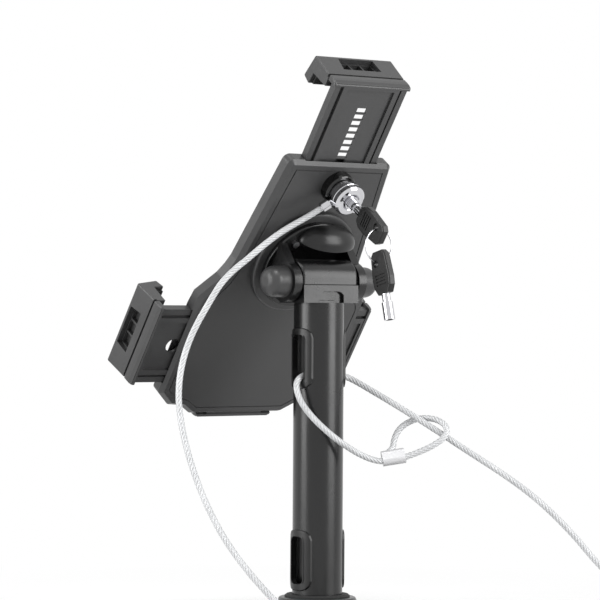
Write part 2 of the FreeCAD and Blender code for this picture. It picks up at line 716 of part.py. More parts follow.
def make_holder():
    cover = new_body("rear_cover", PLATE)
    deep = "shell_thick - front_thick"
    pad(cover, "XY", [outline("0")], deep, SHELL_BACK)
    soften(cover, "corner_round", lambda edge, point: runs_along(edge, 2) and point.y > value("top_edge") - 1)
    soften(cover, "edge_bevel + 1", lambda edge, point: runs_along(edge, 2) and point.y < value("lower_corner") + 1)
    soften(cover, "edge_bevel", lambda edge, point: lies(point, 2, SHELL_BACK), "Chamfer")
    border = [outline("border_inset"), outline("(border_inset + border_wide)")]
    pocket(cover, "XY", border, "border_deep", SHELL_BACK)
    pocket(cover, "XY", [outline("shell_wall")], deep, "back_face + shell_wall")
    pad(cover, "XY", [("circle", "0", "hub_height", "hub_radius")], "hub_proud + shell_wall", HUB_BACK)
    soften(cover, "1.6", lambda edge, point: lies(point, 2, HUB_BACK))
    pocket(cover, "XY", [("circle", "0", "hub_height", "hub_radius - shell_wall")], "hub_proud + 1",
           HUB_BACK + " + shell_wall")
    pocket(cover, "XY", [("circle", "0", "hub_height", "hub_bore")], "shell_wall + 2", HUB_BACK + " - 1")
    half = "arm_half + slide_gap"
    opening = "shell_thick - front_thick - shell_wall"
    pocket(cover, "XY", [box("0", "top_edge", half, "4")], opening, "back_face + shell_wall")
    pocket(cover, "XY", [box("0", "bottom_edge", half, "4")], opening, "back_face + shell_wall")
    for side in ("", "-"):
        pocket(cover, "XY", [box("%swide_half" % side, "side_arm_height", "4", half)], opening,
               "back_face + shell_wall")
    guides = []
    for side in ("", "-"):
        upper = "%s(arm_half + slide_gap + 1)" % side
        guides.append(box(upper, "42", "1", "34"))
        guides.append(box(upper, "bottom_edge + 14.5", "1", "10"))
        for height in ("side_arm_height + arm_half + slide_gap + 1", "side_arm_height - arm_half - slide_gap - 1"):
            guides.append(box("%s(wide_half - 22)" % side, height, "18", "1"))
    pad(cover, "XY", guides, opening, "back_face + shell_wall - 0.2")
    bosses = [("circle", x, y, "3.4") for x, y in cover_screw_places()]
    pad(cover, "XY", bosses, opening + " + 0.2", "back_face + shell_wall - 0.2")
    bores = [("circle", x, y, "1.35") for x, y in cover_screw_places()]
    pocket(cover, "XY", bores, opening + " - 0.6", "back_face + shell_wall + 0.6")
    pocket(cover, "XY", [box("lock_x", "lock_height", "9.8", "6.8")], "1.2", SHELL_BACK)
    pocket(cover, "XY", [box("lock_x", "lock_height", "4.4", "2.6")], "shell_wall", SHELL_BACK)

    slot_plate = new_body("lock_slot_plate", PLATE)
    slotted = [box("lock_x", "lock_height", "9.6", "6.6"), box("lock_x", "lock_height", "3.6", "1.6")]
    pad(slot_plate, "XY", slotted,
        "1.2", SHELL_BACK)

    front = new_body("front_plate", PLATE)
    pad(front, "XY", [outline("0")], "front_thick", FRONT_BACK)
    soften(front, "corner_round", lambda edge, point: runs_along(edge, 2) and point.y > value("top_edge") - 1)
    soften(front, "edge_bevel + 1", lambda edge, point: runs_along(edge, 2) and point.y < value("lower_corner") + 1)
    soften(front, "0.7", lambda edge, point: lies(point, 2, FRONT_FACE), "Chamfer")
    holes = [("circle", x, y, "1.7") for x, y in cover_screw_places()]
    pocket(front, "XY", holes, "front_thick", FRONT_BACK)
    heads = [("circle", x, y, "2.8") for x, y in cover_screw_places()]
    pocket(front, "XY", heads, "1.2", FRONT_FACE + " - 1.2")
    screws("cover_screws", cover_screw_places(), "2.6", FRONT_FACE + " - 1.2", "1", "1.3", FRONT_FACE + " - 6.4",
           "5.2", PLATE)

    pads = []
    upper = ("top_half - 17.5", "top_edge - long_pad_half - 12", "long_pad_half")
    lower = ("wide_half - pad_from_flank", "side_arm_height", "short_pad_half")
    for number, (x, y, half_y) in enumerate((upper, ("-(%s)" % upper[0],) + upper[1:], lower,
                                             ("-(%s)" % lower[0],) + lower[1:]), start=1):
        half_x = "pad_half_wide"
        strip = doc.addObject("Part::Box", "front_pads_%d" % number)
        strip.setExpression("Length", "2 * " + cells(half_x))
        strip.setExpression("Width", "2 * " + cells(half_y))
        strip.setExpression("Height", cells("pad_thick"))
        strip.setExpression("Placement.Base.x", cells("%s - %s" % (x, half_x)))
        strip.setExpression("Placement.Base.y", cells("%s - %s" % (y, half_y)))
        strip.setExpression("Placement.Base.z", cells(FRONT_FACE))
        rounded = doc.addObject("Part::Fillet", "front_pads_round_%d" % number)
        rounded.Base = strip
        doc.recompute()
        upright = [index for index, edge in enumerate(strip.Shape.Edges, start=1) if runs_along(edge, 2)]
        rounded.Edges = [(index, 3.0, 3.0) for index in upright]
        pads.append(rounded)
    group("front_pads", pads, PLATE)


# Arms and claws, each drawn as if it left the top edge: y = 0 is the outer face of the arm's end band

ARMS = {
    "top": ("0", "0", "top_edge + claw_stand_off + top_extend", "long_arm"),
    "left": ("-90", "side_arm_height", "wide_half + claw_stand_off + left_extend", "short_arm"),
    "right": ("90", "side_arm_height", "wide_half + claw_stand_off + right_extend", "short_arm"),
    "bottom": ("180", "0", "-bottom_edge + claw_stand_off + bottom_extend", "long_arm"),
}


def arm_place(name):
    angle, height, reach, _ = ARMS[name]
    turned = spot(y=height if angle in ("-90", "90") else "0", axis="0; 0; 1", angle=angle)
    return PLATE + " * " + turned + " * " + spot(y=reach)


def make_arm(name):
    long = "(%s)" % ARMS[name][3]
    body = new_body("arm_" + name, arm_place(name))
    tail = "-(%s)" % long
    pad(body, "XY", [[("-arm_half", tail), ("arm_half", tail), ("arm_half", "-1"), ("-arm_half", "-1")]],
        "arm_thick", ARM_BACK)
    web = [("-arm_web_half", tail + " - 1"), ("arm_web_half", tail + " - 1"), ("arm_web_half", "-band_thick - 2"),
           ("-arm_web_half", "-band_thick - 2")]
    pocket(body, "XY", [web], "web_recess", ARM_BACK)
    pocket(body, "XY", [web], "arm_thick - arm_web - web_recess", ARM_BACK + " + web_recess + arm_web")
    grooves = []
    bands = []
    for side in ("", "-"):
        low, high = "%srib_half" % side, "%sgroove_half" % side
        grooves.append([(low, tail + " - 1"), (high, tail + " - 1"), (high, "-band_thick"), (low, "-band_thick")])
        edge = "%s(arm_half + 1)" % side
        bands.append([(high, tail + " - 1"), (edge, tail + " - 1"), (edge, "-band_thick"), (high, "-band_thick")])
    pocket(body, "XY", grooves, "groove_deep", ARM_BACK)
    pocket(body, "XY", bands, "0.8", ARM_BACK)
    if ARMS[name][3] == "long_arm":
        add_ratchet(body)
    else:
        pocket(body, "XY", [("circle", "0", "-claw_stand_off - left_extend + 2.6", "stop_hole")], "arm_thick",
               ARM_BACK)
    back = "(back_face + shell_wall - 0.1)"
    band = [
        ("-band_thick", back), ("-band_thick + 1.2", back), ("-1", back + " + 1"),
        ("-0.2", back + " + 3.4"), ("0", back + " + 6"), ("0", CLAW_PLANE), ("-band_thick", CLAW_PLANE),
    ]
    pad(body, "YZ", [band], "2 * band_half", midplane=True)
    soften(body, "1.1", lambda edge, point: abs(point.x) > value("band_half") - 0.01 and point.y > -3.5)


def add_ratchet(body):
    """The row of see-through windows that the latch drops into."""
    window = pocket(body, "XY", [box("0", "-first_ratchet", "ratchet_wide / 2", "ratchet_high / 2")], "arm_thick",
                    ARM_BACK)
    row = body.newObject("PartDesign::LinearPattern", body.Label + "_row")
    row.Originals = [window]
    row.Direction = (window.Profile[0], ["V_Axis"])
    row.Reversed = True
    row.setExpression("Length", cells("notch_pitch * (notch_count - 1)"))
    row.setExpression("Occurrences", cells("notch_count"))
    body.Tip = row
    doc.recompute()


def make_claw(name):
    start = CLAW_PLANE
    claw = new_body("claw_" + name, arm_place(name))
    channel_top = start + " + claw_line + channel_high"
    section = [
        ("-channel_deep", start + " + claw_line"),
        ("-channel_deep", channel_top),
        ("0", channel_top),
        ("claw_flare", start + " + claw_deep"),
        ("-lip_drop", start + " + lip_deep"),
        ("-tip_drop", start + " + tip_deep"),
        ("-root_drop", start + " + root_deep"),
        ("-leg_drop", start + " + leg_deep"),
        ("-leg_drop", start + " + claw_line"),
    ]
    pad(claw, "YZ", [section], "2 * claw_half", midplane=True)
    soften(claw, "1.6", lambda edge, point: runs_along(edge, 0) and (
        lies(point, 2, start + " + claw_deep") or lies(point, 2, start + " + lip_deep")))
    soften(claw, "0.8", lambda edge, point: runs_along(edge, 0) and lies(point, 2, start + " + tip_deep"))
    soften(claw, "1", lambda edge, point: abs(point.x) > value("claw_half") - 0.01
           and point.y > -1 and point.z > value(start) + 2)
    bottom, high = start + " + window_from", start + " + window_to"
    frame = [("-claw_window / 2", bottom), ("claw_window / 2", bottom), ("claw_window / 2 - 1.5", high),
             ("-claw_window / 2 + 1.5", high)]
    pocket(claw, "XZ", [frame], "5.4", "-claw_flare - 1")
    cells_inside = []
    for number in range(3):
        middle_x = "(claw_window - 3) / 3 * %d" % (number - 1)
        cells_inside.append(box(middle_x, start + " + (window_from + window_to) / 2", "(claw_window - 3) / 6 - 0.7",
                                "(window_to - window_from) / 2 - 0.8"))
    pocket(claw, "XZ", cells_inside, "8.4", "-claw_flare - 1")

    lining = new_body("claw_pad_" + name, arm_place(name))
    strip = [
        ("-root_drop - 0.1", start + " + root_deep - 0.1"), ("-leg_drop - 0.1", start + " + leg_deep + 0.4"),
        ("-leg_drop - 1.6", start + " + leg_deep + 0.4"), ("-root_drop - 1.6", start + " + root_deep - 1.6"),
        ("-tip_drop + 0.8", start + " + tip_deep - 1.9"), ("-tip_drop + 0.8", start + " + tip_deep - 0.4"),
    ]
    pad(lining, "YZ", [strip], "2 * (claw_half - 3)", midplane=True)


# Spring latches inside the shell that hold the arms

def make_latches():
    web_back = "(%s + web_recess)" % ARM_BACK
    leaves = []
    for number, (x, y, half_x, half_y) in enumerate((("13", "lock_height - 14", "3.5", "11"),
                                                     ("-13", "lock_height - 14", "3.5", "11"),
                                                     ("13", "bottom_edge + 20", "3.5", "9"),
                                                     ("-13", "bottom_edge + 20", "3.5", "9"),
                                                     ("wide_half - 15", "side_arm_height + 12", "8", "3.5"),
                                                     ("-wide_half + 15", "side_arm_height + 12", "8", "3.5")), start=1):
        foot = doc.addObject("Part::Box", "latch_%d_foot" % number)
        nose = doc.addObject("Part::Box", "latch_%d_nose" % number)
        reach = "%s - back_face - shell_wall - 0.35" % web_back
        for part, share, thick in ((foot, "1", "0.8"), (nose, "0.35", reach)):
            part.setExpression("Length", cells("2 * %s * %s" % (half_x, share)))
            part.setExpression("Width", cells("2 * %s * %s" % (half_y, share)))
            part.setExpression("Height", cells(thick))
            part.setExpression("Placement.Base.x", cells("%s - %s * %s" % (x, half_x, share)))
            part.setExpression("Placement.Base.y", cells("%s - %s * %s" % (y, half_y, share)))
            part.setExpression("Placement.Base.z", cells("back_face + shell_wall"))
        leaves.append(join("latch_%d" % number, [foot, nose]))
    group("arm_latches", leaves, PLATE)


# Lock, keys and the ring between them. In the lock's axes z falls as a piece stands further off the plate.

def make_lock():
    collar_end = "(back_face - lock_collar_long)"
    swivel_end = "(back_face - lock_collar_long - swivel_long - 0.4)"
    cap_end = "(back_face - lock_collar_long - swivel_long - 0.4 - lock_cap_long)"
    neck = "(plug_radius + 2.6)"

    body = new_body("lock_body", LOCK)
    turn(body, [
        ("plug_radius + 0.2", "back_face - 2.5"), ("plug_radius + 0.2", "back_face"),
        ("lock_radius", "back_face"), ("lock_radius", collar_end + " + 0.8"), ("lock_radius - 0.8", collar_end),
        (neck, collar_end), (neck, swivel_end), ("plug_radius + 0.2", swivel_end),
    ])

    swivel = new_body("lock_swivel", LOCK)
    pad(swivel, "XY", [("circle", "0", "0", "swivel_radius"), ("circle", "0", "0", neck + " + 0.2")],
        "swivel_long", collar_end + " - swivel_long - 0.2")
    soften(swivel, "0.7", lambda edge, point: math.hypot(point.x, point.y) > value("swivel_radius") - 0.1)

    cap = new_body("lock_cap", LOCK)
    turn(cap, [
        ("plug_radius + 0.2", swivel_end), ("lock_cap_radius", swivel_end),
        ("lock_cap_radius", swivel_end + " - 2.2"), ("lock_cap_radius - 0.5", swivel_end + " - 2.6"),
        ("lock_cap_radius", swivel_end + " - 3"), ("lock_cap_radius", cap_end + " + 1.8"),
        ("lock_cap_radius - 1.6", cap_end + " + 0.3"), ("lock_cap_radius - 3.4", cap_end),
        ("plug_radius + 1.4", cap_end), ("plug_radius + 0.2", cap_end + " + 1"),
    ])

    plug = new_body("lock_plug", LOCK)
    plug_back = cap_end + " - 0.8"
    pad(plug, "XY", [("circle", "0", "0", "plug_radius")], "back_face - 2.8 - " + cap_end + " + 0.8", plug_back)
    keyway = [("circle", "0", "0", "key_tube + 0.15"), ("circle", "0", "0", "key_bore - 0.2")]
    pocket(plug, "XY", keyway, "6", plug_back)

    bar = new_body("lock_bar", LOCK)
    pad(bar, "XY", [("circle", "0", "0", "1.4")], "5", "back_face - 2.4")
    pad(bar, "XY", [box("0", "0", "3.3", "1.3")], "0.9", "back_face + shell_wall + 0.2")

    ferrule = new_body("cable_ferrule", LOCK + " * " + spot(axis="0; 0; 1", angle="-ferrule_angle"))
    middle_z = "(%s - swivel_long / 2 - 0.2)" % collar_end
    stem = [("circle", "0", middle_z, "swivel_long / 2 - 0.2")]
    pad(ferrule, "YZ", stem, "ferrule_reach - swivel_radius + 1", "swivel_radius - 1")
    pad(ferrule, "YZ", [("circle", "0", middle_z, "cable / 2 + 1.5")], "ferrule_reach - lock_cap_radius - 1.6",
        "lock_cap_radius + 0.6")
    pocket(ferrule, "XY", [("circle", "0", "0", "swivel_radius + 0.05")], "40", "-10")

    key_start = "(%s + 4.6)" % cap_end
    head_near = "(back_face - key_head_out)"
    make_key("key_1", LOCK, key_start, head_near)
    spare_in_lock_axes()


def key_outline(near, far):
    """The head seen flat: x is across, y runs from the blade to the far end."""
    half = "key_wide / 2"
    side = [(half + " - 3.6", near), (half + " - 0.6", near + " - 5"), (half, near + " - 11"),
            (half + " - 1.6", far + " + 3"), (half + " - 4.4", far)]
    return side + [("-(%s)" % x, y) for x, y in reversed(side)]


def make_key(name, place, start, near):
    """A tubular key whose blade points along +z, with a flat head that lies in the y-z plane."""
    far = "(%s - key_head_long)" % near
    blade = new_body(name + "_blade", place)
    pad(blade, "XY", [("circle", "0", "0", "key_tube"), ("circle", "0", "0", "key_bore")],
        "%s - %s - key_neck_long" % (start, near), near + " + key_neck_long")
    pad(blade, "XY", [("circle", "0", "0", "key_neck")], "key_neck_long + 0.6", near)
    head = new_body(name + "_head", place)
    hole_high = far + " + key_hole_edge"
    pad(head, "YZ", [key_outline(near, far), ("circle", "key_hole_side", hole_high, "key_hole")], "key_thick",
        midplane=True)
    soften(head, "1.1", lambda edge, point: abs(point.x) > value("key_thick / 2") - 0.01
           and math.hypot(point.y - value("key_hole_side"), point.z - value(hole_high)) > value("key_hole + 0.9"))
    for side, back in (("", False), ("-", True)):
        ridges = [box("0", "%s - %g" % (near, drop), "5.2", "0.45") for drop in (6.5, 8.7, 10.9, 13.1)]
        pocket(head, "YZ", ridges, "0.6", "%skey_thick / 2" % side, back=not back)


def spare_in_lock_axes():
    """The ring through the first key's hole hangs straight down, and the spare key hangs from the ring."""
    far = value("(back_face - key_head_out - key_head_long)")
    hole = plate_point("lock_x", "lock_height + key_hole_side", far + value("key_hole_edge"))
    ring_radius = value("key_ring_radius")
    hang = value("key_hole - key_ring_wire - 0.8")
    middle_point = hole + FreeCAD.Vector(0, 0, -hang - ring_radius)
    ring = doc.addObject("Part::Torus", "key_ring")
    ring.Label = "key_ring"
    ring.setExpression("Radius1", cells("key_ring_radius"))
    ring.setExpression("Radius2", cells("key_ring_wire"))
    ring.Placement = FreeCAD.Placement(middle_point, FreeCAD.Rotation(FreeCAD.Vector(1, 0, 0), 90))
    NODES.append(ring)
    make_spare(middle_point + FreeCAD.Vector(0, 0, -ring_radius - hang))


def make_spare(hole):
    """The spare key: its head's hole is at this point, and its blade points down."""
    place = "placement(vector(%.4f; %.4f; %.4f); rotation(vector(1; 0; 0); 180 + spare_lean)) * " % (
        hole.x, hole.y, hole.z)
    near = "(key_head_long - key_hole_edge)"
    make_key("key_2", place + spot(y="-key_hole_side"), near + " + 18", near)


def plate_point(x, y, z):
    """A point of the plate's axes in the stand's axes; z is a number."""
    lean = math.radians(value("lean"))
    up, out = value(y), z
    return FreeCAD.Vector(value(x), up * math.sin(lean) - out * math.cos(lean),
                          value(HINGE) + up * math.cos(lean) + out * math.sin(lean))


# Security cable. Each route is a list of points chosen along the real cable.

UPPER_ROUTE = [(36.8, 9.5, 278.6), (52.15, 5.9, 268.0), (65.9, 2.4, 256.1)]
LOWER_ROUTE = [(65.9, 2.4, 256.1), (79.65, -1.1, 244.2), (92.5, -4.6, 223.4), (104.0, -7.2, 203.5),
               (112.2, -7.4, 182.0), (116.6, -4.2, 160.0), (117.2, 2.6, 137.0), (115.0, 11.6, 112.8),
               (110.6, 21.6, 89.5), (103.6, 33.4, 66.5), (93.5, 47.6, 45.0), (81.0, 63.8, 24.5),
               (67.0, 83.0, 9.5), (53.5, 105.0, 3.0), (41.0, 127.5, 2.3), (34.0, 149.0, 2.3)]
RUN_ROUTE = [(-20.0, 200.625, 7.8), (-48.0, 201.2, 3.4), (-80.0, 202.0, 2.3), (-114.0, 202.6, 2.3),
             (-145.0, 198.0, 2.3), (-168.0, 185.0, 2.4), (-180.0, 165.5, 5.0), (-178.0, 146.5, 14.5),
             (-167.0, 134.0, 28.5), (-152.9, 123.7, 43.5), (-136.5, 111.5, 68.0), (-118.0, 97.0, 90.5),
             (-100.0, 82.0, 107.5), (-81.5, 65.5, 123.0), (-63.4, 48.4, 139.2), (-46.5, 31.0, 153.9),
             (-33.0, 13.6, 166.4), (-23.6, 3.6, 174.0), (-11.5, 1.0, 176.8), (4.0, 0.8, 176.8),
             (16.0, 1.5, 175.4), (23.6, 4.3, 170.0), (24.0, 9.4, 159.0), (19.6, 15.6, 149.0),
             (12.6, 21.4, 139.8), (3.0, 26.2, 131.0), (-9.0, 28.8, 123.4), (-21.0, 30.2, 118.0),
             (-31.5, 32.6, 115.6), (-41.0, 38.4, 117.4), (-50.5, 46.6, 121.8), (-59.6, 54.2, 127.2),
             (-66.8, 59.0, 133.6), (-69.6, 57.0, 140.2), (-68.6, 48.6, 144.8), (-63.0, 39.6, 146.2),
             (-55.0, 34.0, 143.8), (-47.6, 30.6, 138.2), (-43.0, 30.6, 130.4), (-40.4, 33.0, 123.4),
             (-34.2, 31.2, 120.6)]
QUARTERS_IN = 8
QUARTERS_CLIMB = 2
QUARTERS_OUT = 7


def rounded_route(points):
    """Straight runs joined by tangent arcs, each as large as its two runs allow. Gives edges and radii."""
    edges = []
    radii = []
    at = points[0]
    for before, corner, after in zip(points, points[1:], points[2:]):
        inward = (corner - before).normalize()
        outward = (after - corner).normalize()
        turned = inward.getAngle(outward)
        shorter = min((corner - before).Length, (after - corner).Length)
        reach = 0.45 * shorter
        radii.append(reach / math.tan(turned / 2))
        first = corner - inward * reach
        last = corner + outward * reach
        crown = arc_crown(corner, first, last, reach, turned)
        edges.append(Part.LineSegment(at, first).toShape())
        edges.append(Part.Arc(first, crown, last).toShape())
        at = last
    edges.append(Part.LineSegment(at, points[-1]).toShape())
    return edges, radii


def arc_crown(corner, first, last, reach, turned):
    """The middle of the arc that touches both runs at reach from their corner."""
    radius = reach / math.tan(turned / 2)
    to_centre = ((first + last) * 0.5 - corner).normalize()
    return corner + to_centre * (radius / math.cos(turned / 2) - radius)


def biarc(start, way, end, way_end):
    """Two arcs that leave start along way and reach end along way_end."""
    chord = end - start
    ways = way + way_end
    square = 2 * (1 - way.dot(way_end))
    along = chord.dot(ways)
    reach = chord.Length ** 2 / (2 * along) if abs(square) < 1e-9 else (
        -along + math.sqrt(along ** 2 + square * chord.Length ** 2)) / square
    first = start + way * reach
    last = end - way_end * reach
    joint = (first + last) * 0.5
    edges = []
    for begin, corner, finish in ((start, first, joint), (joint, last, end)):
        turned = (corner - begin).getAngle(finish - corner)
        crown = arc_crown(corner, begin, finish, reach, turned)
        edges.append(Part.Arc(begin, crown, finish).toShape())
    return edges


def coil_node(number):
    """Place and heading at the end of one quarter turn of the coil."""
    pitch, radius = value("coil_pitch"), value("coil_radius")
    inner = radius - pitch * QUARTERS_IN / 4
    climbed = min(max(number - QUARTERS_IN, 0), QUARTERS_CLIMB) / QUARTERS_CLIMB
    if number <= QUARTERS_IN:
        radius -= pitch * number / 4
    else:
        radius = inner + pitch * max(number - QUARTERS_IN - QUARTERS_CLIMB, 0) / 4
    angle = math.radians(90 * number)
    height = value("cable_floor") + climbed * value("coil_pitch")
    place = FreeCAD.Vector(value("coil_x") + radius * math.cos(angle), value("coil_y") + radius * math.sin(angle),
                           height)
    return place, FreeCAD.Vector(-math.sin(angle), math.cos(angle), 0)


def coil_edges():
    count = QUARTERS_IN + QUARTERS_CLIMB + QUARTERS_OUT
    nodes = [coil_node(number) for number in range(count + 1)]
    straight = value("cable")
    place, way = nodes[0]
    begin = place - way * straight
    edges = [Part.LineSegment(begin, place).toShape()]
    for (start, way), (end, way_end) in zip(nodes, nodes[1:]):
        edges += biarc(start, way, end, way_end)
    place, way = nodes[-1]
    finish = place + way * straight
    edges.append(Part.LineSegment(place, finish).toShape())
    return edges, begin, nodes[0][1], finish, nodes[-1][1]


def tube(label, edges):
    """One unbroken tube along a chain of edges."""
    wire = Part.Wire(edges)
    radius = value("cable / 2")
    first = edges[0]
    start = first.valueAt(first.FirstParameter)
    circle = Part.Wire(Part.Circle(start, first.tangentAt(first.FirstParameter), radius).toShape())
    solid = wire.makePipeShell([circle], True, False)
    feature = doc.addObject("Part::Feature", label)
    feature.Label = label
    feature.Shape = solid
    feature.Placement = FreeCAD.Placement()
    NODES.append(feature)
    length = sum(edge.Length for edge in edges)
    expected = math.pi * radius ** 2 * length
    print("%s: length %.1f, volume %.1f against %.1f" % (label, length, solid.Volume, expected))
    if abs(solid.Volume - expected) > 0.01 * expected:
        raise RuntimeError("%s: the tube's volume is wrong" % label)
    return length


def least_self_gap(edges, label):
    """The nearest that two stretches of one tube come to each other, surface to surface."""
    points = []
    along = 0.0
    for edge in edges:
        count = max(2, int(edge.Length / 1.2))
        for point in edge.discretize(Number=count)[:-1]:
            points.append((along, point))
            along += edge.Length / (count - 1)
    nearest = 1e9
    for index, (here, point) in enumerate(points):
        for there, other in points[index + 1:]:
            if there - here > 4 * value("cable"):
                nearest = min(nearest, point.distanceToPoint(other))
    print("%s: least gap to itself %.2f" % (label, nearest - value("cable")))


def make_cable():
    angle = math.radians(value("ferrule_angle"))
    reach = value("ferrule_reach")
    middle_z = value("back_face - lock_collar_long - swivel_long / 2 - 0.2")
    exit_x = value("lock_x") + reach * math.cos(angle)
    exit_y = value("lock_height") - reach * math.sin(angle)
    leave = plate_point(str(exit_x), str(exit_y), middle_z)
    heading = plate_point(str(exit_x + math.cos(angle)), str(exit_y - math.sin(angle)), middle_z) - leave
    lead = leave + heading * value("cable_lead")
    edges, radii = rounded_route([leave, lead] + [FreeCAD.Vector(*point) for point in UPPER_ROUTE])
    print("cable_upper radii", ["%.0f" % radius for radius in radii])
    total = tube("cable_upper", edges)

    coil, begin, way_in, finish, way_out = coil_edges()
    lower = [FreeCAD.Vector(*point) for point in LOWER_ROUTE] + [begin]
    edges, radii = rounded_route(lower)
    print("cable_lower radii", ["%.0f" % radius for radius in radii])
    total += tube("cable_lower", edges)
    least_self_gap(coil, "cable_coil")
    total += tube("cable_coil", coil)
    edges, radii = rounded_route([finish] + [FreeCAD.Vector(*point) for point in RUN_ROUTE])
    print("cable_run radii", ["%.0f" % radius for radius in radii])
    least_self_gap(edges, "cable_run")
    total += tube("cable_run", edges)
    print("whole cable %.0f" % total)

    sleeve = doc.addObject("Part::Box", "loop_ferrule_blank")
    sleeve.Length = 16
    sleeve.Width = 6.8
    sleeve.Height = 11.2
    sleeve.Placement.Base = FreeCAD.Vector(-6, -3.4, -5.6)
    crimp = doc.addObject("Part::Fillet", "loop_ferrule")
    crimp.Label = "loop_ferrule"
    crimp.Base = sleeve
    doc.recompute()
    lengthways = [index for index, edge in enumerate(sleeve.Shape.Edges, start=1) if runs_along(edge, 0)]
    crimp.Edges = [(index, 3.3, 3.3) for index in lengthways]
    heading = FreeCAD.Vector(-9.5, 5.8, 1.8)
    turned = FreeCAD.Rotation(FreeCAD.Vector(1, 0, 0), heading)
    crimp.Placement = FreeCAD.Placement(FreeCAD.Vector(-37.2, 34.4, 118.6), turned)
    NODES.append(crimp)


make_base()
make_pole()
make_hinge()
make_bracket()
make_holder()
for arm in ARMS:
    make_arm(arm)
    make_claw(arm)
make_latches()
make_lock()
make_cable()
doc.recompute()

faults = [item.Label for item in doc.Objects if "Invalid" in item.State or "Error" in item.State]
for node in NODES:
    if node.Shape.isNull() or not node.Shape.isValid() or node.Shape.Volume <= 0:
        faults.append(node.Label)
if faults:
    raise RuntimeError("faulty objects: " + ", ".join(faults))
os.makedirs("parts", exist_ok=True)
for node in NODES:
    node.Shape.exportStep("parts/%s.step" % node.Label)
print("%d nodes, %d solids" % (len(NODES), sum(len(node.Shape.Solids) for node in NODES)))
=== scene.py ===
import math

import bpy
import numpy as np
from mathutils import Matrix, Vector


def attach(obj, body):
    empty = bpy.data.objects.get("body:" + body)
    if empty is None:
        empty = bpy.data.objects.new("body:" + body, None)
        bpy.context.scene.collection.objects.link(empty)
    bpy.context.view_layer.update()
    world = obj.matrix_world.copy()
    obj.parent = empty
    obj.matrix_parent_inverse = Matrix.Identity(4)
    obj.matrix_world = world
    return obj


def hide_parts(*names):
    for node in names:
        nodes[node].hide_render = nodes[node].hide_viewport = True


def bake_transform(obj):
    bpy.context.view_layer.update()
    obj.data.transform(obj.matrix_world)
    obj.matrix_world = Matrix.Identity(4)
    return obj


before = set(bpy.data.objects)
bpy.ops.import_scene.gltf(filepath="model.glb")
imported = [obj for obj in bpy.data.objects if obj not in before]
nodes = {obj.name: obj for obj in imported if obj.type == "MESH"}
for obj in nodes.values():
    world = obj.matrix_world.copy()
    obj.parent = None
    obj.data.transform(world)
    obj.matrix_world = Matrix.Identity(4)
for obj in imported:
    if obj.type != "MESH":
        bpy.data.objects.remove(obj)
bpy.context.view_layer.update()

MM = 0.001


# The photograph's view: a long lens behind the stand, a little to its left, level with the pole's top

VIEW_TURN = math.radians(37.51)
VIEW_PITCH = math.radians(0.193)
VIEW_ROLL = math.radians(0.363)
CAMERA_PLACE = Vector((1.21971, 1.56725, 0.22111))
SENSOR = 36.0
IMAGE_WIDE = 600
FOCAL_PIXELS = 2848.5
FARTHEST_SEEN = 20


def make_camera():
    level = Vector((-math.sin(VIEW_TURN), -math.cos(VIEW_TURN), 0))
    up = Vector((0, 0, 1))
    look = level * math.cos(VIEW_PITCH) + up * math.sin(VIEW_PITCH)
    right = level.cross(up)
    over = right.cross(look)
    rolled_right = right * math.cos(VIEW_ROLL) + over * math.sin(VIEW_ROLL)
    rolled_up = rolled_right.cross(look)
    data = bpy.data.cameras.new("camera")
    data.lens = FOCAL_PIXELS / IMAGE_WIDE * SENSOR
    data.sensor_width = SENSOR
    data.clip_end = FARTHEST_SEEN
    camera = bpy.data.objects.new("camera", data)
    bpy.context.scene.collection.objects.link(camera)
    turn = Matrix((rolled_right, rolled_up, -look)).transposed().to_4x4()
    camera.matrix_world = Matrix.Translation(CAMERA_PLACE) @ turn
    bpy.context.scene.camera = camera


# Steel rope in a clear coat. Lengths here are millimetres, and the routes' points lie along the real cable

CABLE = 4.4
HINGE_HEIGHT = 240.5
LEAN = math.radians(35)
FERRULE_ANGLE = math.radians(42)
FERRULE_REACH = 19
FERRULE_OUT = 15.2
CABLE_LEAD = 9
LOCK_SPOT = (-2, 63.5)
UPPER_ROUTE = [(36.8, 9.5, 276.4), (52.15, 5.9, 265.8), (65.9, 2.4, 254.0)]
LOWER_ROUTE = [(65.9, 2.4, 254.0), (79.65, -1.1, 244.2), (92.5, -4.6, 223.4), (104.0, -7.2, 203.5),
               (112.2, -7.4, 182.0), (116.6, -4.2, 160.0), (117.2, 2.6, 137.0), (115.0, 11.6, 112.8),
               (110.6, 21.6, 89.5), (103.6, 33.4, 66.5), (93.5, 47.6, 45.0), (81.0, 63.8, 24.5),
               (67.0, 83.0, 9.5), (53.5, 105.0, 3.0), (41.0, 127.5, 2.3), (34.0, 149.0, 2.3),
               (34.0, 167.6, 2.3)]
